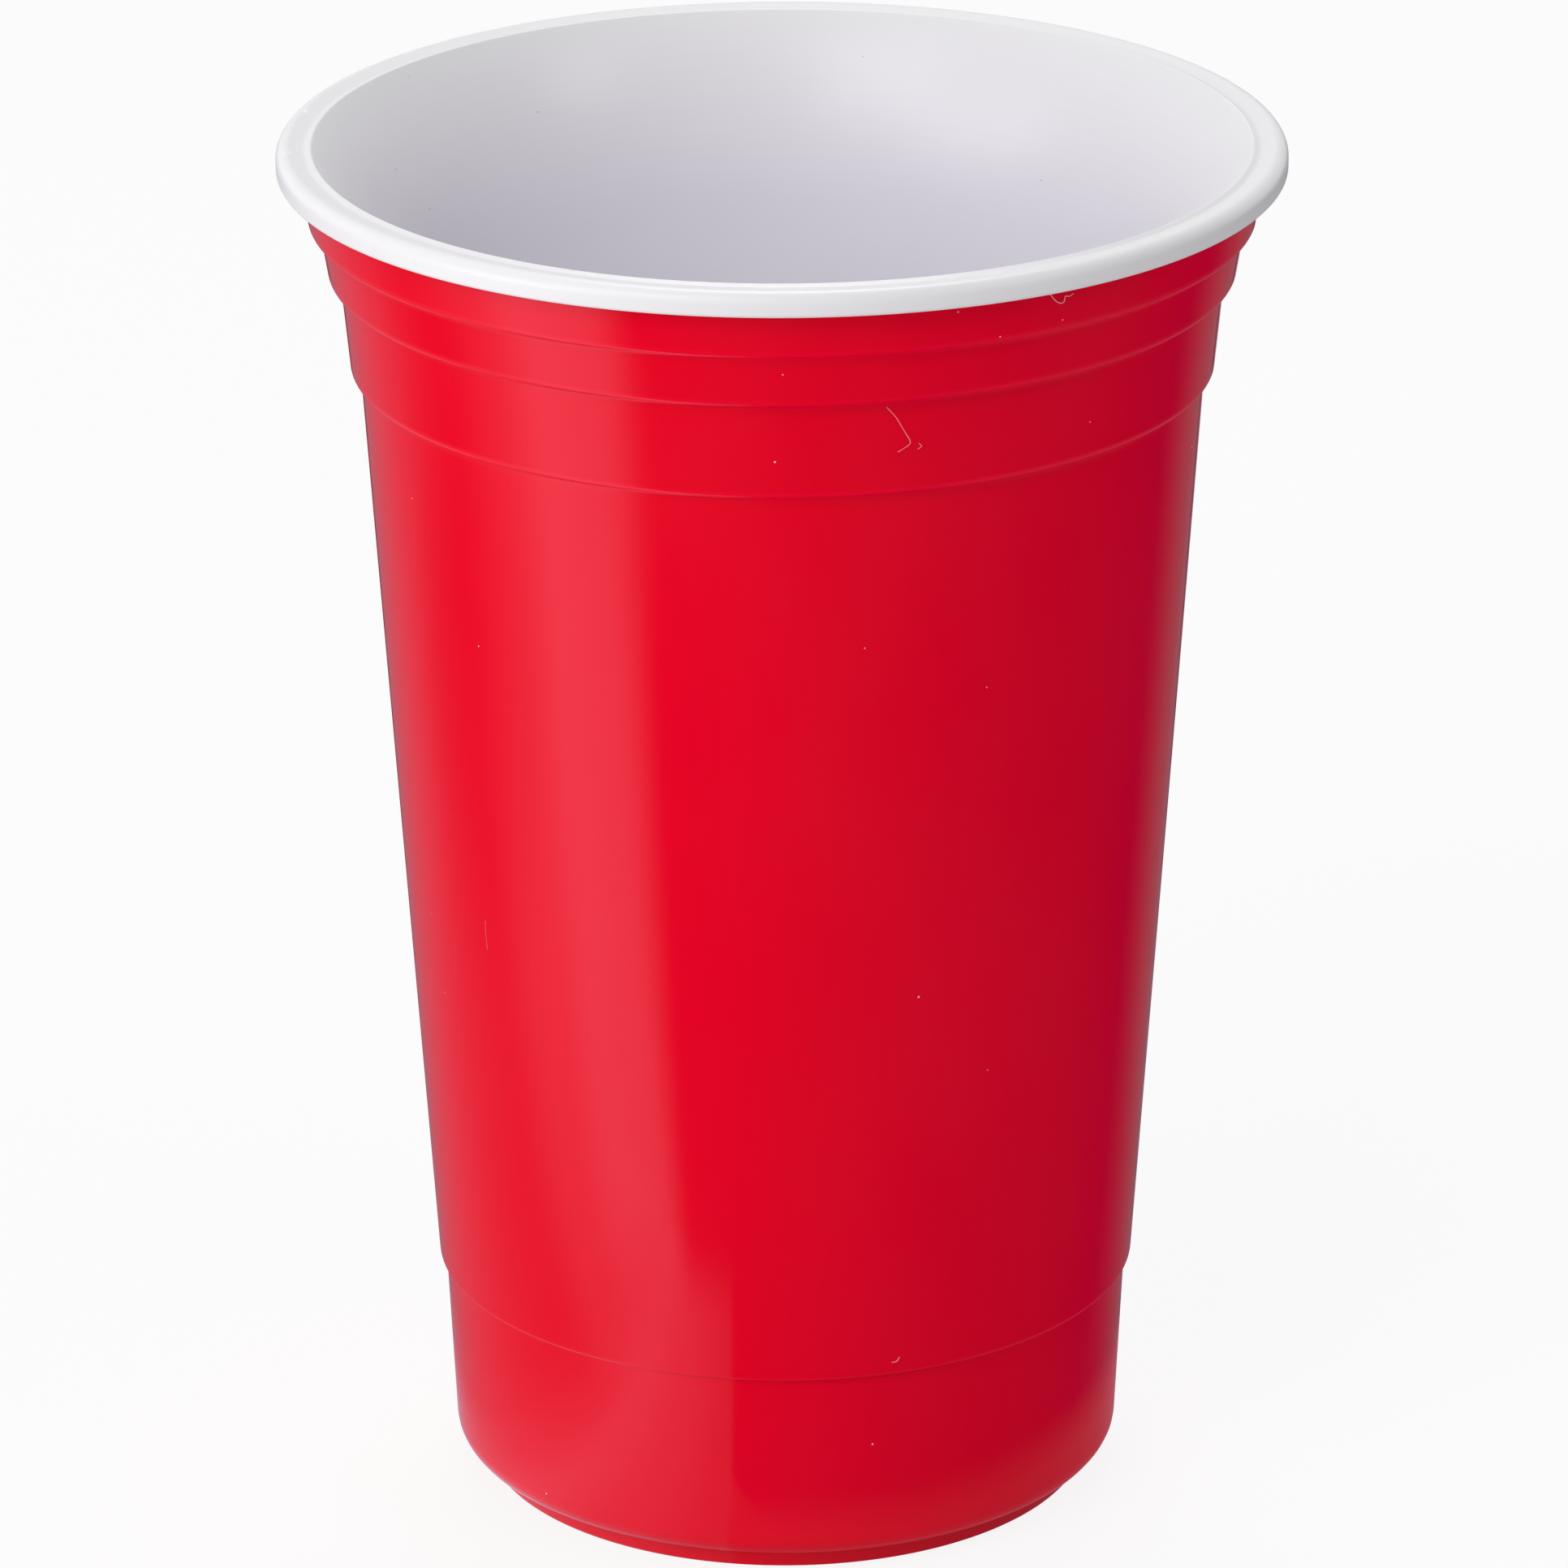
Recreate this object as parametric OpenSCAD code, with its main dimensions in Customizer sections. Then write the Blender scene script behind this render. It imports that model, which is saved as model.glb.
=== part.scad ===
// Double wall tumbler. A stepped outer shell with a foot ring carries a smooth
// inner liner. The liner's thick rim laps over the shell's top edge and keeps a
// closed air space between the two walls.

/* [Overall] */
// Height from the foot to the top of the rim
height = 134; // [115:1:160]
// Segments of a full turn
turn_segments = 144; // [72:12:240]
// Segments of each rounded corner
corner_segments = 5; // [3:1:8]

/* [Rim] */
// Outer diameter of the rim
rim_d = 95; // [88:0.5:104]
// Height of the rim's outer band
rim_h = 2.4; // [2:0.1:3.2]
// How far the rim stands out beyond the shell
rim_overhang = 2.45; // [1.6:0.05:3.2]
// Rounding of the rim's outer edges
rim_edge_round = 0.45; // [0.2:0.05:0.8]
// Rounding where the rim turns down into the cup
rim_mouth_round = 1.2; // [0.6:0.1:1.6]

/* [Rim joint] */
// Height of the tongue on the shell's top edge
tongue_h = 1; // [0.5:0.1:1.2]
// Thickness of the tongue
tongue_t = 0.6; // [0.4:0.05:0.8]
// Play on each side of the tongue in the rim's groove
groove_play = 0.05; // [0.02:0.01:0.1]

/* [Shell] */
// Wall thickness of the shell
shell_wall = 1.2; // [0.9:0.05:1.5]
// Thickness of the shell's floor
shell_floor = 1.5; // [1:0.1:2.2]
// Rounding of the edge of each ledge
ledge_round = 0.35; // [0.1:0.05:0.6]

/* [First step, under the rim] */
// Height of the first step
step1_h = 4.7; // [3.5:0.1:7]
// Inward lean of the first step in degrees
step1_draft = 5.7; // [1:0.1:10]
// Width of the ledge under the first step
ledge1_w = 0.97; // [0.6:0.01:1.4]

/* [Second step] */
// Height of the second step
step2_h = 5.2; // [3.5:0.1:7]
// Inward lean of the second step in degrees
step2_draft = 9.2; // [2:0.1:12]
// Width of the ledge under the second step
ledge2_w = 1.03; // [0.6:0.01:1.4]

/* [Third step] */
// Height of the third step
step3_h = 9.35; // [6:0.1:13]
// Inward lean of the third step in degrees
step3_draft = 5.5; // [2:0.1:8]
// Width of the ledge under the third step
ledge3_w = 0.88; // [0.6:0.01:1.4]

/* [Body and base] */
// Inward lean of the long plain wall in degrees
body_draft = 3.84; // [2.5:0.01:4.6]
// Width of the ledge at the foot of the plain wall
ledge4_w = 0.59; // [0.3:0.01:1.2]
// Height of the base band below that ledge
base_h = 19.5; // [12:0.5:28]
// Inward lean of the base band in degrees
base_draft = 2.8; // [1:0.1:4]
// Rounding of the bottom edge of the base band
base_round = 2.2; // [1:0.1:2.6]

/* [Foot] */
// Height of the foot ring
foot_h = 2; // [1.2:0.1:3]
// How far the foot ring stands in from the base band
foot_inset = 2.6; // [2.2:0.1:4.5]
// Thickness of the foot ring
foot_t = 1.7; // [1.2:0.1:2.6]
// Inward lean of the foot ring's outer face in degrees
foot_draft = 5; // [1:0.5:10]
// Rounding of the foot ring's lower edges
foot_round = 0.4; // [0.2:0.05:0.5]
// Diameter of the round gate recess under the floor
gate_d = 12; // [6:0.5:20]
// Depth of the gate recess
gate_depth = 0.4; // [0.2:0.05:0.6]

/* [Liner] */
// Wall thickness of the liner
liner_wall = 1.1; // [0.8:0.05:1.3]
// Thickness of the liner's floor
liner_floor = 1.2; // [0.9:0.1:2]
// Rounding inside the cup between wall and floor
liner_round = 4; // [2:0.25:8]
// Depth below the rim at which the mouth starts to flare
flare_depth = 17; // [13:0.5:20]

/* [Air space] */
// Gap between liner and shell at the rim joint
neck_gap = 0.12; // [0.05:0.01:0.3]
// Gap between the walls at the top of the plain wall
upper_gap = 0.6; // [0.3:0.05:1.2]
// Gap between the walls level with the liner's floor
lower_gap = 2.4; // [1.2:0.1:4]
// Gap between the two floors
floor_gap = 3; // [1.5:0.1:6]

/* [Hidden] */

// Levels, from the top down
rim_z = height - rim_h;
ledge1_z = rim_z - step1_h;
ledge2_z = ledge1_z - step2_h;
ledge3_z = ledge2_z - step3_h;
ledge4_z = foot_h + base_h;

// Outer radii of the shell, from the top down
neck_r = rim_d / 2 - rim_overhang;
step1_low_r = neck_r - step1_h * tan(step1_draft);
step2_top_r = step1_low_r - ledge1_w;
step2_low_r = step2_top_r - step2_h * tan(step2_draft);
step3_top_r = step2_low_r - ledge2_w;
step3_low_r = step3_top_r - step3_h * tan(step3_draft);
body_top_r = step3_low_r - ledge3_w;
body_low_r = body_top_r - (ledge3_z - ledge4_z) * tan(body_draft);
base_top_r = body_low_r - ledge4_w;
base_low_r = base_top_r - base_h * tan(base_draft);
foot_top_r = base_low_r - foot_inset;
foot_low_r = foot_top_r - foot_h * tan(foot_draft);

// Each tier of the shell: radius and level of its top, of its bottom, its lean
// and the rounding of its lower edge
tiers = [
    [neck_r, rim_z, step1_low_r, ledge1_z, step1_draft, ledge_round],
    [step2_top_r, ledge1_z, step2_low_r, ledge2_z, step2_draft, ledge_round],
    [step3_top_r, ledge2_z, step3_low_r, ledge3_z, step3_draft, ledge_round],
    [body_top_r, ledge3_z, body_low_r, ledge4_z, body_draft, ledge_round],
    [base_top_r, ledge4_z, base_low_r, foot_h, base_draft, base_round],
    [foot_top_r, foot_h, foot_low_r, 0, foot_draft, foot_round]
];
body_tier = 3;
last_wall = 4;

// Angles below the horizontal
down = 90;
side = 180;

// Horizontal thickness of a wall that leans by a draft angle
function across(wall, draft) = wall / cos(draft);

// Points of an arc about a centre, between two angles below the horizontal
function arc(centre, radius, from, to, segments = corner_segments) = [
    for (i = [0:segments])
        let (a = from + (to - from) * i / segments)
            [centre.x + radius * cos(a), centre.y - radius * sin(a)]
];

// Rounding between a leaning wall and the level face at its lower end. The
// sharp corner would lie at radius r and level z.
function edge_centre(r, z, draft, radius) =
    [r + radius * tan(draft) - across(radius, draft), z + radius];
function edge_down(r, z, draft, radius) =
    arc(edge_centre(r, z, draft, radius), radius, draft, down);
function edge_up(r, z, draft, radius) =
    arc(edge_centre(r, z, draft, radius), radius, down, draft);

// Outer side of the shell from its top edge to the foot
function shell_outside() = [
    for (t = tiers)
        each concat([[t[0], t[1]]], edge_down(t[2], t[3], t[4], t[5]))
];

// Inner side of the shell from its floor up, one wall thickness inside each tier.
// The inner face of a ledge lies one wall thickness above the outer one.
function inside_r(t, z) = t[2] + (z - t[3]) * tan(t[4]) - across(shell_wall, t[4]);
function shell_inside() = concat(
    edge_up(inside_r(tiers[last_wall], floor_z), floor_z, base_draft, floor_round),
    [for (i = [last_wall:-1:1])
        let (z = tiers[i][1] + shell_wall)
            each [[inside_r(tiers[i], z), z], [inside_r(tiers[i - 1], z), z]]],
    [[inside_r(tiers[0], rim_z), rim_z]]
);
floor_z = foot_h + shell_floor;
floor_round = max(base_round - shell_wall, ledge_round);

// Tapered wall of the liner. Its outer side passes the inner corner of the third
// ledge at the upper gap, and the level of its own floor at the lower gap.
liner_z = floor_z + floor_gap;
corner_z = ledge3_z + shell_wall;
corner_r = inside_r(tiers[body_tier], corner_z) - upper_gap;
liner_r = inside_r(tiers[last_wall], liner_z) - lower_gap;
liner_draft = atan((corner_r - liner_r) / (corner_z - liner_z));
function liner_out_r(z) = liner_r + (z - liner_z) * tan(liner_draft);
function liner_in_r(z) = liner_out_r(z) - across(liner_wall, liner_draft);

// Flared mouth. One arc leaves the taper smoothly and passes the shell's top edge
// at the neck gap, and the inner face runs on into the rounding of the rim.
flare_z = height - flare_depth;
flare_foot = [liner_out_r(flare_z), flare_z];
flare_neck = [inside_r(tiers[0], rim_z) - neck_gap, rim_z];
chord = flare_neck - flare_foot;
taper_normal = [cos(liner_draft), -sin(liner_draft)];
flare_out = (chord * chord) / (2 * (chord * taper_normal));
flare_in = flare_out + liner_wall;
flare_c = flare_foot + flare_out * taper_normal;
neck_lean = asin((rim_z - flare_c.y) / flare_out);
mouth_lean = asin((height - rim_mouth_round - flare_c.y) / (flare_in - rim_mouth_round));
mouth_c = [
    flare_c.x - (flare_in - rim_mouth_round) * cos(mouth_lean),
    height - rim_mouth_round
];
flare_segments = 4 * corner_segments;

// Outer shell with its steps, its foot ring and the tongue that enters the rim
module outer_shell() {
    tongue_r = neck_r - tongue_t;
    tongue_z = rim_z + tongue_h;
    foot_in_r = foot_low_r - foot_t;
    gate_z = foot_h + gate_depth;
    color("crimson")
        rotate_extrude($fn = turn_segments)
            polygon(concat(
                [[neck_r, tongue_z]],
                shell_outside(),
                arc([foot_in_r + foot_round, foot_round], foot_round, down, side),
                [[foot_in_r, foot_h], [gate_d / 2, foot_h], [gate_d / 2, gate_z], [0, gate_z]],
                [[0, floor_z]],
                shell_inside(),
                [[tongue_r, rim_z], [tongue_r, tongue_z]]
            ));
}

// Inner liner: floor, tapered wall, flared mouth and the grooved rim
module inner_liner() {
    rim_r = rim_d / 2;
    edge_r = rim_r - rim_edge_round;
    groove_z = rim_z + tongue_h;
    groove_out_r = neck_r + groove_play;
    groove_in_r = neck_r - tongue_t - groove_play;
    inner_floor_z = liner_z + liner_floor;
    outer_round = liner_round + liner_wall;
    color("white")
        rotate_extrude($fn = turn_segments)
            polygon(concat(
                [[0, inner_floor_z]],
                edge_up(liner_in_r(inner_floor_z), inner_floor_z, liner_draft, liner_round),
                arc(flare_c, flare_in, side + liner_draft, side + mouth_lean, flare_segments),
                arc(mouth_c, rim_mouth_round, side + mouth_lean, side + down),
                arc([edge_r, height - rim_edge_round], rim_edge_round, -down, 0),
                arc([edge_r, rim_z + rim_edge_round], rim_edge_round, 0, down),
                [[groove_out_r, rim_z], [groove_out_r, groove_z]],
                [[groove_in_r, groove_z], [groove_in_r, rim_z]],
                arc(flare_c, flare_out, side + neck_lean, side + liner_draft, flare_segments),
                edge_down(liner_r, liner_z, liner_draft, outer_round),
                [[0, liner_z]]
            ));
}

outer_shell();
inner_liner();
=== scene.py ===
import math

import bpy
import numpy as np
from mathutils import Matrix, Vector


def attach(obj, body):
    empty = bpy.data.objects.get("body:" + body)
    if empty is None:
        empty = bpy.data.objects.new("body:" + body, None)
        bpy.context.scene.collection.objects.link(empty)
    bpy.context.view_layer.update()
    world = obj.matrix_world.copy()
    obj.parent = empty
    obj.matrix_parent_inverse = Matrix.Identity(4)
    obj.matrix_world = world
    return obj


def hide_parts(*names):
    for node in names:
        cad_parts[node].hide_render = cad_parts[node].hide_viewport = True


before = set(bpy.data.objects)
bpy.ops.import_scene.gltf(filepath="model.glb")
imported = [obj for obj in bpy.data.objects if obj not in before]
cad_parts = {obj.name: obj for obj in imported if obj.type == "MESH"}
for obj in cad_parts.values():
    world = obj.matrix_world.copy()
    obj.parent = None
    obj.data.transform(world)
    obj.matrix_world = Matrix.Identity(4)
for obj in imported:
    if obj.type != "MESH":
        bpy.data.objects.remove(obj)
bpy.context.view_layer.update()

scene = bpy.context.scene
scene.view_settings.view_transform = "Standard"


# Camera. A long lens looks down a little on the cup from its front, and leans by a
# fraction of a degree, as it did for the photograph.
camera_back = 0.8261
camera_height = 0.3843
camera_down = math.radians(20.88)
camera_lean = math.radians(-0.18)

lens = bpy.data.cameras.new("camera")
lens.sensor_width = 36.0
lens.lens = 210.7
lens.clip_start = 0.05
lens.clip_end = 20.0
camera = bpy.data.objects.new("camera", lens)
scene.collection.objects.link(camera)
camera.matrix_world = (
    Matrix.Translation((0.0, -camera_back, camera_height))
    @ Matrix.Rotation(math.pi / 2 - camera_down, 4, "X")
    @ Matrix.Rotation(camera_lean, 4, "Z")
)
scene.camera = camera


# Studio floor. Plain white paper that keeps a faint shadow. For glossy rays alone it
# glows with a painted reflection: pale bands on a dark ground, which the glossy walls show.
floor_half = 3.0
paper = bpy.data.meshes.new("floor")
paper.from_pydata(
    [(x * floor_half, y * floor_half, 0.0) for x, y in ((-1, -1), (1, -1), (1, 1), (-1, 1))],
    [],
    [(0, 1, 2, 3)],
)
floor = bpy.data.objects.new("floor", paper)
scene.collection.objects.link(floor)


def shader_tree(data):
    """Emptied node tree of a material or world: its nodes and its links."""
    data.use_nodes = True
    data.node_tree.nodes.clear()
    return data.node_tree.nodes, data.node_tree.links


def ramp(nodes, links, value, stops, ease="EASE"):
    """Colour ramp of the value through stops of a position and a colour or grey."""
    node = nodes.new("ShaderNodeValToRGB")
    bar = node.color_ramp
    bar.interpolation = ease
    while len(bar.elements) < len(stops):
        bar.elements.new(0.5)
    for element, (position, colour) in zip(bar.elements, stops):
        element.position = position
        element.color = (*colour, 1.0) if isinstance(colour, tuple) else (colour,) * 3 + (1.0,)
    links.new(value, node.inputs["Fac"])
    return node.outputs["Color"]


def arithmetic(nodes, links, operation, first, second):
    """Math node on two values, each a node's output or a plain number."""
    node = nodes.new("ShaderNodeMath")
    node.operation = operation
    for socket, value in zip(node.inputs, (first, second)):
        if isinstance(value, (int, float)):
            socket.default_value = value
        else:
            links.new(value, socket)
    return node.outputs[0]


def spread(nodes, links, value, low, high, to_low, to_high):
    """The value moved from one range to another, and held inside the new one."""
    ranged = nodes.new("ShaderNodeMapRange")
    for socket, number in zip(ranged.inputs[1:5], (low, high, to_low, to_high)):
        socket.default_value = number
    links.new(value, ranged.inputs["Value"])
    return ranged.outputs["Result"]


def blended(nodes, links, share, first, second):
    """Colour between two colours, each a node's output or a fixed one."""
    mixer = nodes.new("ShaderNodeMix")
    mixer.data_type = "RGBA"
    links.new(share, mixer.inputs["Factor"])
    for socket, colour in ((mixer.inputs[6], first), (mixer.inputs[7], second)):
        if isinstance(colour, tuple):
            socket.default_value = (*colour, 1.0)
        else:
            links.new(colour, socket)
    return mixer.outputs[2]


def mixed(nodes, links, share, first, second):
    """Shader between two shaders, by a node's output or a plain number."""
    node = nodes.new("ShaderNodeMixShader")
    if isinstance(share, float):
        node.inputs["Fac"].default_value = share
    else:
        links.new(share, node.inputs["Fac"])
    links.new(first, node.inputs[1])
    links.new(second, node.inputs[2])
    return node.outputs["Shader"]


paper_with_painted_reflection = bpy.data.materials.new("paper_with_painted_reflection")
nodes, links = shader_tree(paper_with_painted_reflection)
ray = nodes.new("ShaderNodeLightPath").outputs
matte = nodes.new("ShaderNodeBsdfDiffuse")
matte.inputs["Color"].default_value = (0.86, 0.86, 0.86, 1.0)
bright = nodes.new("ShaderNodeEmission")
bright.inputs["Color"].default_value = (1.0, 1.0, 1.0, 1.0)
bright.inputs["Strength"].default_value = 1.0
# Painted reflection: bearing of a floor point from the front left of the foot, as a share
# of a turn that starts at the left and goes by the front, the right and the back
reflection_pivot = (-0.012, -0.051)
place = nodes.new("ShaderNodeTexCoord").outputs["Object"]
shifted = nodes.new("ShaderNodeMapping")
shifted.inputs["Location"].default_value = (-reflection_pivot[0], -reflection_pivot[1], 0.0)
links.new(place, shifted.inputs["Vector"])
bearing = nodes.new("ShaderNodeTexGradient")
bearing.gradient_type = "RADIAL"
links.new(shifted.outputs["Vector"], bearing.inputs["Vector"])
cool_white = np.array([0.86, 0.81, 1.0])
shades = [
    (0.0, 0.5), (0.055, 0.95), (0.097, 0.85), (0.145, 0.0), (0.66, 0.15), (0.69, 0.17),
    (0.702, 0.0), (0.78, 0.0), (0.795, 0.22), (0.85, 0.26), (0.945, 0.14), (1.0, 0.5),
]
stops = [(position, tuple(cool_white * shade)) for position, shade in shades]
# Painted reflection: a faint violet sheen on the dark ground on the right
stops[4:4] = [(0.3, (0.0, 0.0, 0.02)), (0.45, (0.02, 0.0, 0.09)), (0.6, (0.02, 0.0, 0.08))]
painted_reflection_bands = ramp(nodes, links, bearing.outputs["Fac"], stops)


def spot(nodes, links, place, centre, inner, outer, strength):
    """Round patch about a point that fades from an inner to an outer radius."""
    away = nodes.new("ShaderNodeVectorMath")
    away.operation = "DISTANCE"
    away.inputs[1].default_value = centre
    links.new(place, away.inputs[0])
    return spread(nodes, links, away.outputs["Value"], inner, outer, strength, 0.0)


def sweep(nodes, links, place, direction, low, high, to_low, to_high):
    """A value that changes along one direction of the floor, and holds beyond it."""
    along = nodes.new("ShaderNodeVectorMath")
    along.operation = "DOT_PRODUCT"
    along.inputs[1].default_value = direction
    links.new(place, along.inputs[0])
    return spread(nodes, links, along.outputs["Value"], low, high, to_low, to_high)


# In the painted reflection: a gap among the far bands on the left, a painted rosy glow
# right under the cup for the red light it throws on the paper, and a near band with one
# straight edge close to the foot
gap = spot(nodes, links, place, (-0.25, 0.01, 0.0), 0.02, 0.12, 0.8)
glow = spot(nodes, links, place, (0.0, 0.0, 0.0), 0.04, 0.048, 1.0)
across_edge, along_edge = (0.959, -0.284, 0.0), (-0.284, -0.959, 0.0)
near_band_left, near_band_right = -0.0654, 0.0046
across_near_band = sweep(nodes, links, place, across_edge, near_band_left, near_band_right, 0.0, 1.0)
near_band_shades = ((0.0, 0.35), (0.3, 0.4), (0.42, 0.55), (0.6, 0.75), (0.775, 0.52), (0.96, 0.3))
near_band = ramp(
    nodes, links, across_near_band,
    [(position, tuple(cool_white * shade)) for position, shade in near_band_shades],
)
near = arithmetic(
    nodes, links, "MULTIPLY",
    sweep(nodes, links, place, across_edge, -0.052, -0.026, 0.0, 1.0),
    arithmetic(
        nodes, links, "MULTIPLY",
        sweep(nodes, links, place, across_edge, 0.0028, 0.0038, 1.0, 0.0),
        sweep(nodes, links, place, along_edge, 0.078, 0.092, 1.0, 0.0),
    ),
)
opened = blended(nodes, links, gap, painted_reflection_bands, (0.0, 0.0, 0.0))
rosy = blended(nodes, links, glow, opened, (0.35, 0.13, 0.17))
# Painted reflection: only glossy rays see the floor glow with this pattern
painted_reflection = nodes.new("ShaderNodeEmission")
painted_reflection.inputs["Strength"].default_value = 1.16
links.new(blended(nodes, links, near, rosy, near_band), painted_reflection.inputs["Color"])
surface = mixed(nodes, links, ray["Is Glossy Ray"], matte.outputs[0], painted_reflection.outputs[0])
paper_seen = mixed(nodes, links, 0.88, matte.outputs[0], bright.outputs[0])
direct = arithmetic(nodes, links, "MAXIMUM", ray["Is Camera Ray"], ray["Is Transmission Ray"])
out = nodes.new("ShaderNodeOutputMaterial")
links.new(mixed(nodes, links, direct, surface, paper_seen), out.inputs["Surface"])
paper.materials.append(paper_with_painted_reflection)


# Studio light. The room is plain white behind everything and gives a soft even light.
# A low soft box on the left and a higher one in front shape the cup, a small one on
# the right lifts its shadow, and one over the far side lights the mouth and the back.
room = bpy.data.worlds.new("room")
scene.world = room
nodes, links = shader_tree(room)
ray = nodes.new("ShaderNodeLightPath").outputs
backdrop = nodes.new("ShaderNodeBackground")
backdrop.inputs["Color"].default_value = (1.0, 1.0, 1.0, 1.0)
backdrop.inputs["Strength"].default_value = 1.0
even = nodes.new("ShaderNodeBackground")
even.inputs["Color"].default_value = (0.98, 0.98, 1.0, 1.0)
even.inputs["Strength"].default_value = 0.36
direct = arithmetic(nodes, links, "MAXIMUM", ray["Is Camera Ray"], ray["Is Transmission Ray"])
seen = arithmetic(nodes, links, "MAXIMUM", direct, ray["Is Glossy Ray"])
out = nodes.new("ShaderNodeOutputWorld")
links.new(mixed(nodes, links, seen, even.outputs[0], backdrop.outputs[0]), out.inputs["Surface"])


lit_point = Vector((0.0, 0.0, 0.07))


def soft_box(name, azimuth, height, distance, side, watts):
    """Square lamp on a circle round the cup, turned to face the cup's middle.

    The azimuth is counted in degrees from the camera's side towards the right."""
    lamp = bpy.data.lights.new(name, "AREA")
    lamp.shape = "RECTANGLE"
    lamp.size, lamp.size_y = side, side
    lamp.energy = watts
    angle = math.radians(azimuth)
    stand = Vector((distance * math.sin(angle), -distance * math.cos(angle), height))
    holder = bpy.data.objects.new(name, lamp)
    scene.collection.objects.link(holder)
    facing = (lit_point - stand).to_track_quat("-Z", "Y")
    holder.matrix_world = Matrix.Translation(stand) @ facing.to_matrix().to_4x4()


soft_box("left_box", azimuth=-60.0, height=0.3, distance=0.95, side=0.6, watts=3.6)
soft_box("front_box", azimuth=-30.0, height=0.8, distance=0.95, side=0.6, watts=4.0)
soft_box("right_box", azimuth=60.0, height=0.8, distance=0.95, side=0.3, watts=1.1)
soft_box("back_box", azimuth=180.0, height=1.4, distance=0.7, side=0.6, watts=7.5)


# Outer shell. One thin injection moulding in glossy red plastic: three short tiers
# with crisp ledges under the rim, the long plain taper, a base band and a foot ring.
# Its top edge carries a tongue that snaps up into the rim of the white liner.
mm = 0.001
rim_under = 131.6
cup_tall = 134.0
neck_r = 45.05
tier_tall = np.array([4.7, 5.2, 9.35, 90.85, 19.5])
tier_lean = np.radians([5.7, 9.2, 5.5, 3.84, 2.8])
ledge_wide = np.array([0.97, 1.03, 0.88, 0.59])
shell_wall = 1.2
floor_above_table = 3.5
foot_tall = 2.0
base_edge = 2.2
ledge_edge = np.array([0.28, 0.42, 0.45, 0.42])
ledge_root = np.array([0.28, 0.42, 0.5, 0.47])


def rounded(corners, radii, steps):
    """Profile through the corners, with an arc of its own radius in place of each.

    A corner that turns by an angle is cut back on both sides by its radius times the
    tangent of half the angle. The arc's centre lies square to the first side at the
    cut, and the arc's points are the cut turned about it in equal shares."""
    side = np.diff(corners, axis=0)
    side /= np.linalg.norm(side, axis=1, keepdims=True)
    before, after = side[:-1], side[1:]
    bend = np.arctan2(
        before[:, 0] * after[:, 1] - before[:, 1] * after[:, 0],
        (before * after).sum(axis=1),
    )
    start = corners[1:-1] - before * (radii * np.tan(np.abs(bend) / 2))[:, None]
    left = np.stack([-before[:, 1], before[:, 0]], axis=1)
    centre = start + left * (radii * np.sign(bend))[:, None]
    arm = start - centre
    spin = bend[:, None] * np.linspace(0.0, 1.0, steps + 1)
    x = arm[:, :1] * np.cos(spin) - arm[:, 1:] * np.sin(spin)
    y = arm[:, :1] * np.sin(spin) + arm[:, 1:] * np.cos(spin)
    arcs = centre[:, None, :] + np.stack([x, y], axis=2)
    return np.concatenate([corners[:1], arcs.reshape(-1, 2), corners[-1:]])


def filled(profile, longest, guard):
    """The same profile with more points on its straight stretches.

    A stretch longer than three guards gets a point one guard inside each of its ends,
    which keeps the shading of the arcs off the flat walls. Points at even steps along
    the whole profile are added where no other point lies within two guards, and
    points that fall on one another become one."""
    length = np.linalg.norm(np.diff(profile, axis=0), axis=1)
    along = np.concatenate([[0.0], np.cumsum(length)])
    plain = length > 3 * guard
    even = np.arange(0.0, along[-1], longest)
    apart = np.abs(even[:, None] - along).min(axis=1) > 2 * guard
    extra = (along[:-1][plain] + guard, along[1:][plain] - guard, even[apart])
    at = np.unique(np.round(np.concatenate([along, *extra]), 5))
    return np.stack([np.interp(at, along, profile[:, k]) for k in (0, 1)], axis=1)


def turned(name, profile, segments):
    """Mesh object turned from a profile of radius and height in millimetres.

    A profile point goes round the axis as x = r cos a, y = r sin a, and its height
    stays. The profile's two ends lie on the axis, and each is closed by one point."""
    ring = profile[1:-1]
    angle = np.linspace(0.0, 2 * np.pi, segments, endpoint=False)
    rise = np.repeat(ring[:, 1:], segments, axis=1)
    grid = np.stack([ring[:, :1] * np.cos(angle), ring[:, :1] * np.sin(angle), rise], axis=2)
    ends = [[0.0, 0.0, profile[0, 1]], [0.0, 0.0, profile[-1, 1]]]
    points = np.concatenate([grid.reshape(-1, 3), ends]) * mm
    here = np.arange(grid.shape[0] * segments).reshape(-1, segments)
    ahead = np.roll(here, -1, axis=1)
    walls = np.stack([here[:-1], ahead[:-1], ahead[1:], here[1:]], axis=2).reshape(-1, 4)
    first, last = np.full(segments, here.size), np.full(segments, here.size + 1)
    bottom = np.stack([first, ahead[0], here[0]], axis=1)
    top = np.stack([here[-1], ahead[-1], last], axis=1)
    mesh = bpy.data.meshes.new(name)
    mesh.from_pydata(points, [], walls.tolist() + bottom.tolist() + top.tolist())
    mesh.shade_smooth()
    piece = bpy.data.objects.new(name, mesh)
    scene.collection.objects.link(piece)
    return piece


# Upper and lower corner of each tier, from the rim down
shrink = tier_tall * np.tan(tier_lean)
upper_r = neck_r - np.concatenate([[0.0], np.cumsum(shrink[:-1] + ledge_wide)])
upper_z = rim_under - np.concatenate([[0.0], np.cumsum(tier_tall[:-1])])
uppers = np.stack([upper_r, upper_z], axis=1)
lowers = np.stack([upper_r - shrink, upper_z - tier_tall], axis=1)
# The inner face lies one wall thickness inside the walls and above the ledges
inward = shell_wall * np.stack([np.tan(tier_lean) - 1 / np.cos(tier_lean), np.ones(5)], axis=1)
inner_floor_r = (lowers[-1] + inward[-1])[0] - 0.3 * math.tan(tier_lean[-1])

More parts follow.
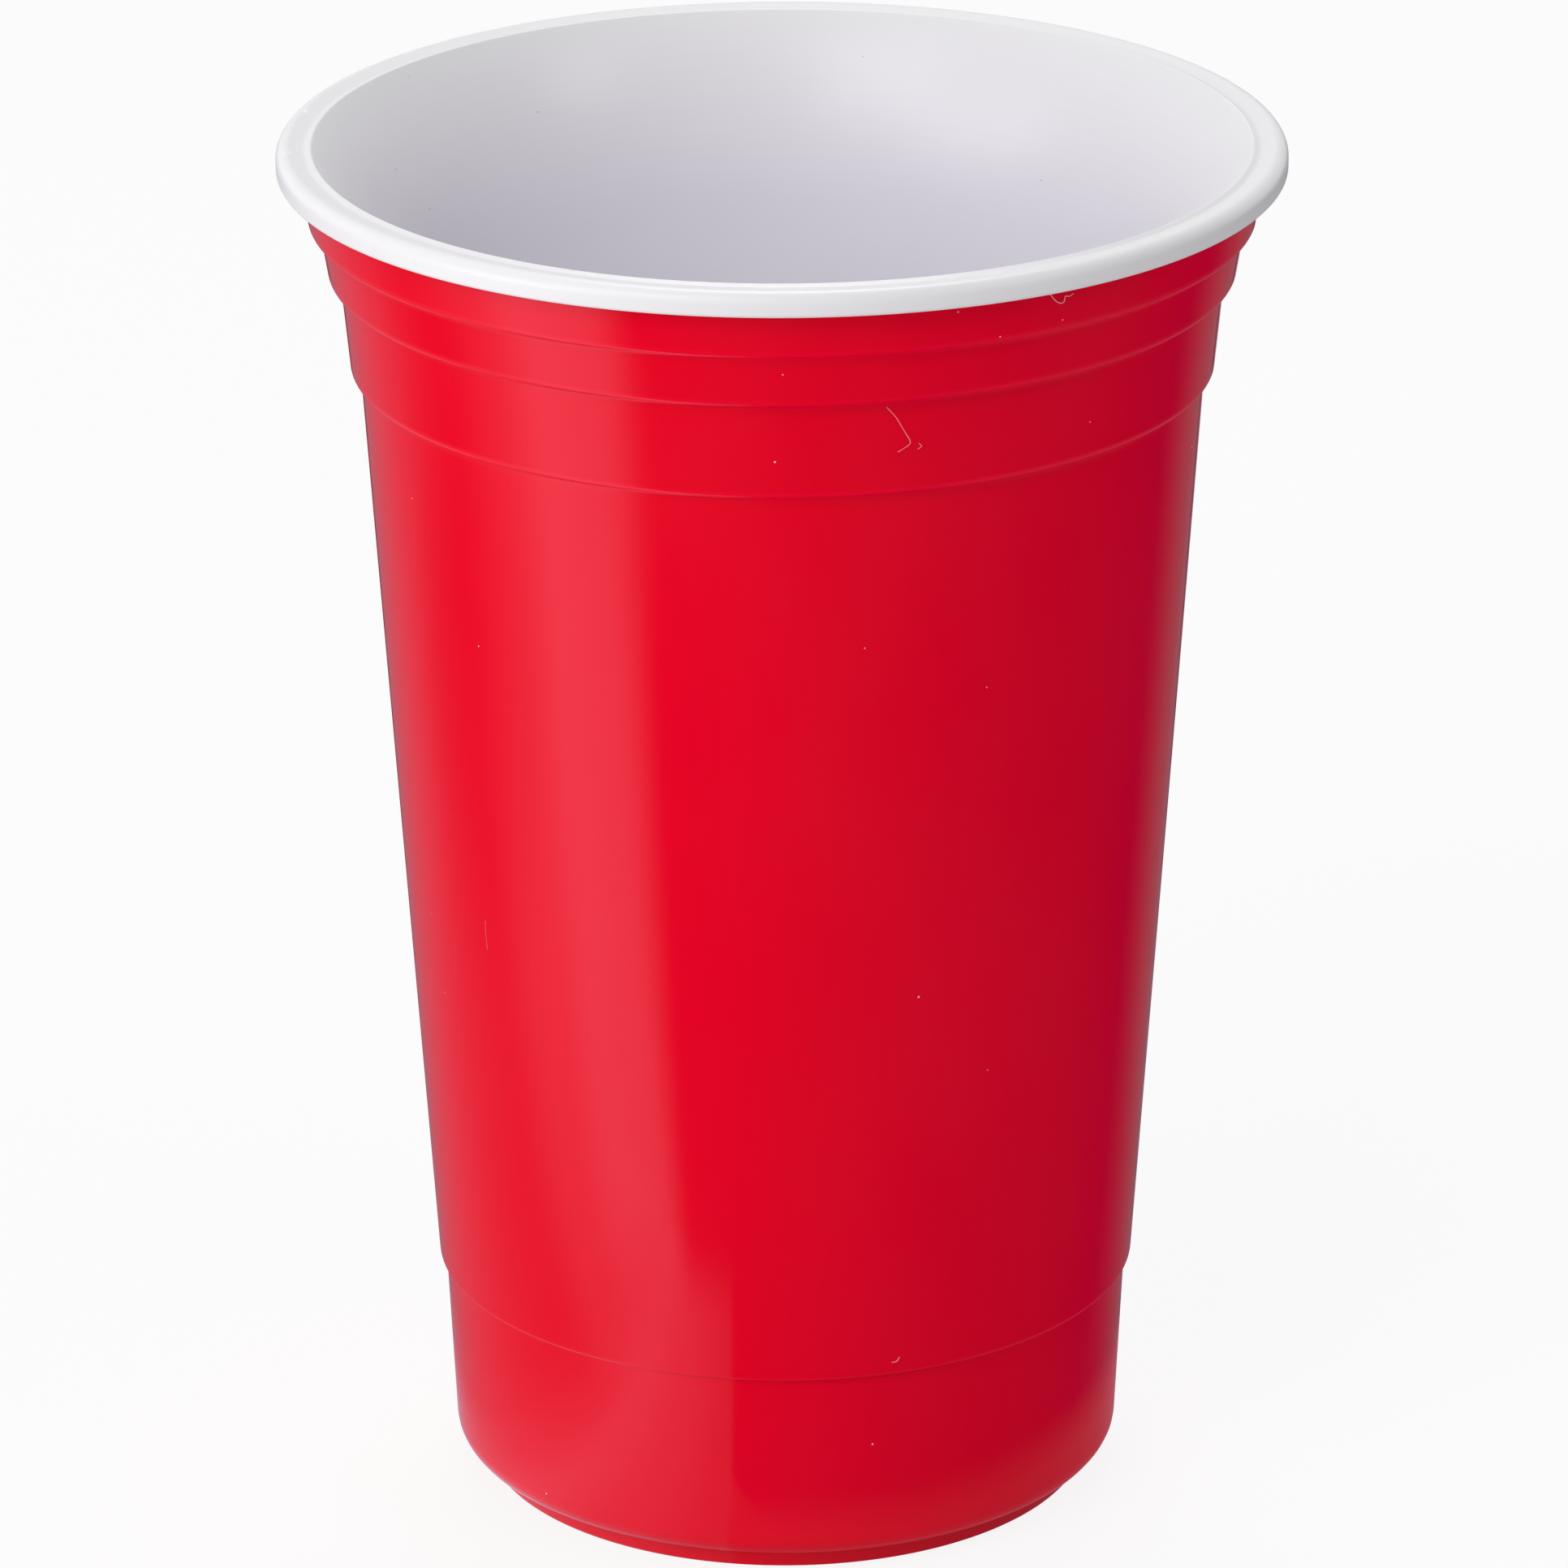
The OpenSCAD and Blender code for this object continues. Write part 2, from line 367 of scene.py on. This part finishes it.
underside = np.array([
    # Gate mark in its round recess, the floor's underside and the foot ring
    [0.0, 2.2, 0.0], [0.9, 2.2, 0.1], [1.1, 2.4, 0.1], [5.9, 2.4, 0.15], [6.1, 2.0, 0.2],
    [27.84, foot_tall, 0.3], [27.84, 0.0, 0.4], [29.54, 0.0, 0.4], [29.72, foot_tall, 0.25],
])
outside = np.stack([lowers[::-1], uppers[::-1]], axis=1).reshape(-1, 2)
ledge_radii = np.stack([ledge_root, ledge_edge], axis=1).ravel()
outside_radii = np.concatenate([[base_edge], ledge_radii, [0.0]])
tongue = np.array([[45.05, 132.6], [44.45, 132.6], [44.45, rim_under], [43.84, rim_under]])
inside = np.stack([lowers[:-1] + inward[:-1], uppers[1:] + inward[1:]], axis=1).reshape(-1, 2)
floor_top = np.array([[inner_floor_r, floor_above_table], [0.0, floor_above_table]])
shell_corners = np.concatenate([underside[:, :2], outside, tongue, inside, floor_top])
shell_radii = np.zeros(len(shell_corners))
shell_radii[:len(underside)] = underside[:, 2]
shell_radii[len(underside):len(underside) + len(outside)] = outside_radii
shell_radii[-2] = 1.0

segments = 192
longest_step, arc_guard = 3.0, 0.12
shell_profile = filled(rounded(shell_corners, shell_radii[1:-1], 6), longest_step, arc_guard)
shell = turned("red_shell", shell_profile, segments)
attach(shell, "root")
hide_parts("outer_shell")


def cloud(nodes, links, place, scale, detail, stretch=(1.0, 1.0, 1.0)):
    """Fractal noise on the object's own coordinates, with its grain stretched."""
    sized = nodes.new("ShaderNodeMapping")
    sized.inputs["Scale"].default_value = stretch
    links.new(place, sized.inputs["Vector"])
    noise = nodes.new("ShaderNodeTexNoise")
    noise.inputs["Scale"].default_value = scale
    noise.inputs["Detail"].default_value = detail
    links.new(sized.outputs["Vector"], noise.inputs["Vector"])
    return noise.outputs["Fac"]


def relief(nodes, links, value, strength, depth, under=None):
    """Bump of the value, laid over another bump's normal where one is given."""
    bump = nodes.new("ShaderNodeBump")
    bump.inputs["Strength"].default_value = strength
    bump.inputs["Distance"].default_value = depth
    links.new(value, bump.inputs["Height"])
    if under is not None:
        links.new(under, bump.inputs["Normal"])
    return bump.outputs["Normal"]


red_plastic = bpy.data.materials.new("red_plastic")
nodes, links = shader_tree(red_plastic)
place = nodes.new("ShaderNodeTexCoord").outputs["Object"]
skin = nodes.new("ShaderNodeBsdfPrincipled")
skin.inputs["IOR"].default_value = 1.5
# Even deep red with the faintest drift of tone from the flow of the plastic
flow = cloud(nodes, links, place, 30.0, 2.0, (1.0, 1.0, 0.4))
tone = spread(nodes, links, flow, 0.3, 0.7, 0.0, 1.0)
colour = blended(nodes, links, tone, (0.81, 0.0, 0.0178), (0.79, 0.0, 0.0168))
# Fine dust that settles in pale points a tenth of a millimetre wide
grit = nodes.new("ShaderNodeTexVoronoi")
grit.inputs["Scale"].default_value = 420.0
links.new(place, grit.inputs["Vector"])
close = spread(nodes, links, grit.outputs["Distance"], 0.03, 0.05, 1.0, 0.0)
pick = spread(nodes, links, grit.outputs["Color"], 0.93, 0.94, 0.0, 0.35)
dusted = arithmetic(nodes, links, "MULTIPLY", close, pick)
colour = blended(nodes, links, dusted, colour, (0.85, 0.45, 0.45))
# Painted highlight: thin paler lines along the edges of the ledges, most of all at the sides
axes = nodes.new("ShaderNodeSeparateXYZ")
links.new(place, axes.inputs["Vector"])
level = arithmetic(nodes, links, "DIVIDE", axes.outputs["Z"], cup_tall * mm)
band = ((-0.0035, 0.0), (-0.0012, 1.0), (0.0012, 1.0), (0.003, 0.0))
edge_highlight_stops = [
    (z / cup_tall + shift, share * shade)
    for z, share in zip(upper_z[:0:-1], (0.6, 1, 1, 1))
    for shift, shade in band
]
edge_highlight_lines = ramp(nodes, links, level, edge_highlight_stops, "LINEAR")
painted_edge_highlight = arithmetic(nodes, links, "MULTIPLY", edge_highlight_lines, 0.7)
off_middle = arithmetic(nodes, links, "ABSOLUTE", axes.outputs["X"], 0.0)
aside = spread(nodes, links, off_middle, 0.012, 0.036, 0.0, 1.0)
pale = blended(nodes, links, aside, (0.98, 0.0, 0.035), (0.98, 0.05, 0.08))
links.new(blended(nodes, links, painted_edge_highlight, colour, pale), skin.inputs["Base Color"])
# Handling leaves the gloss a little uneven
smear = cloud(nodes, links, place, 70.0, 5.0, (1.0, 1.0, 0.5))
gloss = spread(nodes, links, smear, 0.3, 0.75, 0.08, 0.14)
links.new(gloss, skin.inputs["Roughness"])
# Slow waves of the moulded wall, and a skin of very fine grain
slow = cloud(nodes, links, place, 24.0, 1.0, (1.0, 1.0, 0.35))
fine = cloud(nodes, links, place, 2600.0, 2.0)
waves = relief(nodes, links, slow, 0.06, 0.0003)
links.new(relief(nodes, links, fine, 0.08, 0.00004, waves), skin.inputs["Normal"])
out = nodes.new("ShaderNodeOutputMaterial")
links.new(skin.outputs["BSDF"], out.inputs["Surface"])
shell.data.materials.append(red_plastic)


# Inner liner. One thin injection moulding in glossy white plastic: floor, tapered
# wall, a mouth that flares in one long arc, and the thick rim that laps the shell.
# The rim's top falls a little from its round outer shoulder to a fine lip inside.
rim_r = 47.5
liner_corners = np.array([
    # Underside of the floor and the outer side, hidden in the air space
    [0.0, 6.5, 0.0], [28.93, 6.5, 5.1], [37.6, 106.0, 0.0], [38.56, 117.0, 0.0],
    [40.4, 125.6, 14.0], [43.72, rim_under, 0.0],
    # Underside of the rim with the groove for the shell's tongue
    [44.4, rim_under, 0.0], [44.4, 132.6, 0.0], [45.1, 132.6, 0.0], [45.1, rim_under, 0.0],
    # Rim: outer band, shoulder, sloping top and the lip that turns down into the cup
    [rim_r, rim_under, 0.4], [rim_r, 134.2, 1.1], [44.8, 133.65, 0.6], [44.2, 133.95, 0.22],
    # Flared mouth, tapered wall and floor
    [38.232, 126.22, 31.7], [27.93, 7.7, 4.0], [0.0, 7.7, 0.0],
])
liner_arcs = rounded(liner_corners[:, :2], liner_corners[1:-1, 2], 14)
liner_profile = filled(liner_arcs, longest_step, arc_guard)
liner = turned("white_liner", liner_profile, segments)
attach(liner, "root")
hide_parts("inner_liner")

white_plastic = bpy.data.materials.new("white_plastic")
nodes, links = shader_tree(white_plastic)
place = nodes.new("ShaderNodeTexCoord").outputs["Object"]
skin = nodes.new("ShaderNodeBsdfPrincipled")
skin.inputs["IOR"].default_value = 1.5
skin.inputs["Specular IOR Level"].default_value = 0.4
flow = cloud(nodes, links, place, 26.0, 2.0, (1.0, 1.0, 0.4))
tone = spread(nodes, links, flow, 0.3, 0.7, 0.0, 1.0)
lilac = blended(nodes, links, tone, (0.85, 0.825, 0.885), (0.84, 0.815, 0.875))
# Painted tint: lilac lower in the cup and plain white near the top, for the lilac cast of light
# that bounces deep inside
axes = nodes.new("ShaderNodeSeparateXYZ")
links.new(place, axes.inputs["Vector"])
upward = spread(nodes, links, axes.outputs["Z"], 0.118, 0.133, 0.0, 1.0)
colour = blended(nodes, links, upward, lilac, (0.81, 0.8, 0.815))
# Two small scuff marks on the left of the rim, broken up by a fine grain, painted pale for the
# highlights on their tiny dents
scratches = cloud(nodes, links, place, 1500.0, 3.0, (1.0, 0.4, 1.0))
broken_up = spread(nodes, links, scratches, 0.42, 0.5, 0.0, 1.0)
far_scuff_glint = spot(nodes, links, place, (-0.0449, 0.0095, 0.1338), 0.0003, 0.0008, 1.0)
near_scuff_glint = spot(nodes, links, place, (-0.046, -0.004, 0.1338), 0.0003, 0.0009, 0.8)
scuffs_and_glints = arithmetic(nodes, links, "MAXIMUM", far_scuff_glint, near_scuff_glint)
scuff_and_glint_share = arithmetic(nodes, links, "MULTIPLY", scuffs_and_glints, broken_up)
links.new(blended(nodes, links, scuff_and_glint_share, colour, (0.97, 0.97, 0.98)), skin.inputs["Base Color"])
smear = cloud(nodes, links, place, 60.0, 5.0, (1.0, 1.0, 0.5))
links.new(spread(nodes, links, smear, 0.3, 0.75, 0.3, 0.38), skin.inputs["Roughness"])
slow = cloud(nodes, links, place, 22.0, 1.0, (1.0, 1.0, 0.35))
fine = cloud(nodes, links, place, 2600.0, 2.0)
waves = relief(nodes, links, slow, 0.03, 0.0001)
links.new(relief(nodes, links, fine, 0.08, 0.00004, waves), skin.inputs["Normal"])
out = nodes.new("ShaderNodeOutputMaterial")
links.new(skin.outputs["BSDF"], out.inputs["Surface"])
liner.data.materials.append(white_plastic)


# Dust. Pale grains a fifth of a millimetre wide cling to the red wall, and a few grey
# ones to the white flare inside. Loose household dust that settled on the plastic.
def grains(name, azimuth, size, radius, height, seed):
    """Mesh object of small flat grains stuck on a wall at given azimuths in degrees.

    A grain is a regular solid of twenty faces. It is scaled to the grain's size and to
    two fifths of it through the wall, each corner is pushed in or out by a seeded share,
    and the whole is turned to face outwards at its azimuth, radius and height."""
    golden = (1 + 5**0.5) / 2
    signs = np.array([(-1, -1), (1, -1), (-1, 1), (1, 1)], dtype=float)
    flat = np.concatenate([np.zeros((4, 1)), signs * (1.0, golden)], axis=1)
    solid = np.concatenate([np.roll(flat, k, axis=1) for k in range(3)])
    solid /= np.linalg.norm(solid[0])
    gaps = np.linalg.norm(solid[:, None] - solid, axis=2)
    joined = (gaps > 0.01) & (gaps < 1.1)
    trios = np.argwhere(joined[:, :, None] & joined[:, None, :] & joined[None, :, :])
    trios = trios[(trios[:, 0] < trios[:, 1]) & (trios[:, 1] < trios[:, 2])]
    corner_a, corner_b, corner_c = solid[trios[:, 0]], solid[trios[:, 1]], solid[trios[:, 2]]
    square_to_face = np.cross(corner_b - corner_a, corner_c - corner_a)
    inside_out = (square_to_face * corner_a).sum(axis=1) < 0
    trios[inside_out] = trios[inside_out][:, ::-1]
    chance = np.random.default_rng(seed)
    shapes = solid * chance.uniform(0.6, 1.25, (len(azimuth), 12, 1)) * size[:, None, None] / 2
    angle = np.radians(azimuth)
    out = np.stack([np.sin(angle), -np.cos(angle), 0 * angle], axis=1)
    along = np.stack([np.cos(angle), np.sin(angle), 0 * angle], axis=1)
    points = (
        out[:, None] * (radius[:, None] + 0.4 * shapes[..., 0])[..., None]
        + along[:, None] * shapes[..., 1:2]
        + np.array([0.0, 0.0, 1.0]) * (height[:, None] + shapes[..., 2])[..., None]
    )
    faces = trios + 12 * np.arange(len(azimuth))[:, None, None]
    mesh = bpy.data.meshes.new(name)
    mesh.from_pydata(points.reshape(-1, 3) * mm, [], faces.reshape(-1, 3).tolist())
    piece = bpy.data.objects.new(name, mesh)
    scene.collection.objects.link(piece)
    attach(piece, "root")
    return piece


def speckled(name, dark, light, rough):
    """Dull material whose grey or colour shifts from grain to grain."""
    made = bpy.data.materials.new(name)
    nodes, links = shader_tree(made)
    place = nodes.new("ShaderNodeTexCoord").outputs["Object"]
    skin = nodes.new("ShaderNodeBsdfPrincipled")
    drift = spread(nodes, links, cloud(nodes, links, place, 900.0, 2.0), 0.35, 0.65, 0.0, 1.0)
    links.new(blended(nodes, links, drift, dark, light), skin.inputs["Base Color"])
    links.new(spread(nodes, links, drift, 0.0, 1.0, rough, 1.0), skin.inputs["Roughness"])
    fuzz = cloud(nodes, links, place, 9000.0, 2.0)
    links.new(relief(nodes, links, fuzz, 0.5, 0.00002), skin.inputs["Normal"])
    out = nodes.new("ShaderNodeOutputMaterial")
    links.new(skin.outputs["BSDF"], out.inputs["Surface"])
    return made


wall = outside[np.argsort(outside[:, 1], kind="stable")]
# Azimuth, height and width of the grains on the front, then a seeded few on the back
seen_grains = np.array([
    (0, 125, 0.18), (-1, 116, 0.2), (-47, 93, 0.18), (11, 97, 0.16), (29, 91.5, 0.16),
    (43, 116, 0.16), (20.5, 130.5, 0.2), (20, 61, 0.24), (32, 52, 0.16), (-45.5, 4.6, 0.2),
    (14.5, 14, 0.2), (-61, 105, 0.16), (-64, 54, 0.16), (34.5, 128, 0.16), (26, 127.5, 0.16),
])
chance = np.random.default_rng(7)
behind = chance.uniform((75.0, 8.0, 0.13), (285.0, 128.0, 0.22), (16, 3))
spots = np.concatenate([seen_grains, behind])
outer_r = np.interp(spots[:, 1], wall[:, 1], wall[:, 0])
dust = grains("dust_specks", spots[:, 0], spots[:, 2], outer_r, spots[:, 1], 3)
dust.data.materials.append(speckled("pale_dust", (0.8, 0.34, 0.35), (0.9, 0.6, 0.59), 0.7))

mouth = liner_profile[np.argmax(liner_profile[:, 1] * (liner_profile[:, 0] < 45.0)):-1][::-1]
seen_inside = np.array([
    (-124, 132.9, 0.2), (-143.5, 127, 0.2), (-112, 126.5, 0.25), (-117.5, 121.7, 0.2),
    (138.5, 121, 0.2), (169, 130, 0.2), (35, 96, 0.25), (-30, 60, 0.2), (80, 40, 0.25),
])
inner_r = np.interp(seen_inside[:, 1], mouth[:, 1], mouth[:, 0])
grit = grains("inner_specks", seen_inside[:, 0], seen_inside[:, 2], inner_r, seen_inside[:, 1], 5)
grit.data.materials.append(speckled("grey_dust", (0.42, 0.4, 0.42), (0.6, 0.57, 0.6), 0.8))


# Lint. Fine curled fibres of cloth, a tenth of a millimetre thick, lie on the red wall
# under the rim and by the base, held by nothing but static.
steps, around, smoothing = 60, 6, 9
mm_per_degree = 0.7


def fibre(path, thick, lift):
    """Points, walls and end caps of one thread, from a path of azimuth and height.

    The path is read at sixty even steps of its length and smoothed by a moving mean.
    It stands off the wall by half its thickness, and by a lift that follows half a sine
    from end to end. A ring of six points goes round each step, and a point closes each
    end."""
    path = np.array(path, dtype=float)
    step = np.hypot(np.diff(path[:, 0]) * mm_per_degree, np.diff(path[:, 1]))
    along = np.concatenate([[0.0], np.cumsum(step)])
    at = np.linspace(0.0, along[-1], steps)
    line = np.stack([np.interp(at, along, path[:, k]) for k in (0, 1)], axis=1)
    half = smoothing // 2
    padded = np.pad(line, ((half, half), (0, 0)), mode="reflect", reflect_type="odd")
    mean = np.full(smoothing, 1 / smoothing)
    line = np.stack([np.convolve(padded[:, k], mean, "valid") for k in (0, 1)], axis=1)
    angle = np.radians(line[:, 0])
    radius = np.interp(line[:, 1], wall[:, 1], wall[:, 0]) + thick / 2
    radius += lift * np.sin(np.linspace(0.0, np.pi, steps))
    out = np.stack([np.sin(angle), -np.cos(angle), 0 * angle], axis=1)
    centre = out * radius[:, None] + np.array([0.0, 0.0, 1.0]) * line[:, 1:]
    ahead = np.gradient(centre, axis=0)
    ahead /= np.linalg.norm(ahead, axis=1, keepdims=True)
    side = np.cross(ahead, out)
    side /= np.linalg.norm(side, axis=1, keepdims=True)
    over = np.cross(side, ahead)
    turn = np.linspace(0.0, 2 * np.pi, around, endpoint=False)[None, :, None]
    circle = side[:, None] * np.cos(turn) + over[:, None] * np.sin(turn)
    ring = centre[:, None] + thick / 2 * circle
    points = np.concatenate([ring.reshape(-1, 3), centre[:1], centre[-1:]])
    here = np.arange(steps * around).reshape(steps, around)
    beside = np.roll(here, -1, axis=1)
    walls = np.stack([here[:-1], here[1:], beside[1:], beside[:-1]], axis=2).reshape(-1, 4)
    start, end = np.full(around, here.size), np.full(around, here.size + 1)
    caps = np.concatenate([
        np.stack([start, here[0], beside[0]], axis=1),
        np.stack([end, beside[-1], here[-1]], axis=1),
    ])
    return points, walls, caps


threads = [
    fibre([(13, 121), (14.2, 120), (15.1, 118.8), (16, 117.7), (16.3, 117.3), (15.5, 116.9),
           (14.6, 116.5)], 0.05, 0.2),
    fibre([(17.3, 117.2), (17.7, 116.9), (17.2, 116.6)], 0.05, 0.1),
    fibre([(32, 131.2), (32.9, 130.2), (33.6, 129.8), (34.2, 129.8), (34.3, 130.5), (35, 130.2),
           (35.7, 130.4)], 0.08, 0.3),
    fibre([(57, 131.4), (58, 130.9), (59.2, 131.1), (60, 131.5)], 0.06, 0.2),
    fibre([(17.2, 22.8), (18, 22.9), (18.5, 23.3)], 0.06, 0.1),
    fibre([(-50, 64.5), (-50.1, 63), (-50, 61.5)], 0.02, 0.0),
    fibre([(196, 88), (198, 86.5), (197.5, 84.8), (199.5, 83.5)], 0.08, 0.3),
]
lint_points, lint_walls, lint_caps = (np.stack(parts) for parts in zip(*threads))
# Each thread's faces count on from the points of the threads before it
before = (np.arange(len(threads)) * lint_points.shape[1])[:, None, None]
lint = bpy.data.meshes.new("lint_fibres")
lint.from_pydata(
    lint_points.reshape(-1, 3) * mm,
    [],
    (lint_walls + before).reshape(-1, 4).tolist() + (lint_caps + before).reshape(-1, 3).tolist(),
)
lint.shade_smooth()
fibres = bpy.data.objects.new("lint_fibres", lint)
scene.collection.objects.link(fibres)
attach(fibres, "root")
lint.materials.append(speckled("pale_lint", (0.8, 0.3, 0.32), (0.88, 0.52, 0.53), 0.6))
